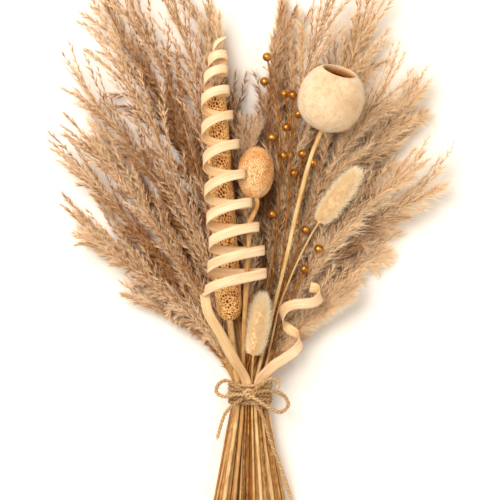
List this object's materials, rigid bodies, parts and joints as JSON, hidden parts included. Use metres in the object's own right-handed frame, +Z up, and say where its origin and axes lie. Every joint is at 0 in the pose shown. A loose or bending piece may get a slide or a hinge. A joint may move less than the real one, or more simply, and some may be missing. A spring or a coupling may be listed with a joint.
{
  "type": "dried pampas grass bouquet",
  "caption": "Tied bouquet of dried pampas plumes with a gourd cup, seed cob, sponge ball, wood ribbons, hare's tails and gold berries, lying down.",
  "frame": {"origin": "centre of the bounding box's bottom face, on the surface that the bouquet lies on", "axes": "+Y from the cut stems towards the plume tips, +Z up, away from the surface; the picture's view looks down along -Z with +X to its right"},
  "size_m": [0.3412, 0.5348, 0.1117],
  "materials": {
    "plume": "fluffy dry grass, tan to cream",
    "straw": "dry straw, satin",
    "cob": "porous, dark pits",
    "sponge": "speckled, finely pitted",
    "gourd": "dry gourd skin, matt",
    "shaving": "pale wood shaving, satin",
    "hare_tail": "soft cream hair",
    "gold_berry": "gold paint, glossy",
    "jute": "two-ply jute, fuzzy"
  },
  "bodies": {
    "root": {"plume_back_1": "plume", "plume_back_2": "plume", "plume_back_3": "plume", "plume_back_4": "plume", "plume_back_5": "plume", "plume_back_6": "plume", "plume_back_7": "plume", "plume_back_8": "plume", "plume_middle_1": "plume", "plume_middle_2": "plume", "plume_middle_3": "plume", "plume_middle_4": "plume", "plume_middle_5": "plume", "plume_middle_6": "plume", "plume_middle_7": "plume", "plume_middle_8": "plume", "plume_middle_9": "plume", "plume_middle_10": "plume", "plume_front_1": "plume", "plume_front_2": "plume", "plume_front_3": "plume", "plume_front_4": "plume", "plume_front_5": "plume", "plume_front_6": "plume", "plume_front_7": "plume", "plume_front_8": "plume", "plume_front_9": "plume", "cob": "cob", "cob_stem": "straw", "sponge_ball": "sponge", "ball_stem": "straw", "gourd_cup": "gourd", "cup_stem": "straw", "spiral_ribbon": "shaving", "curl_ribbon": "shaving", "hare_tail_right": "hare_tail", "hare_tail_centre": "hare_tail", "berry_spray_left": "gold_berry", "berry_spray_middle": "gold_berry", "berry_spray_right": "gold_berry", "berry_spray_low": "gold_berry", "twine_bow": "jute", "twine_tail_left": "jute", "twine_tail_right": "jute"}
  },
  "joints": []
}
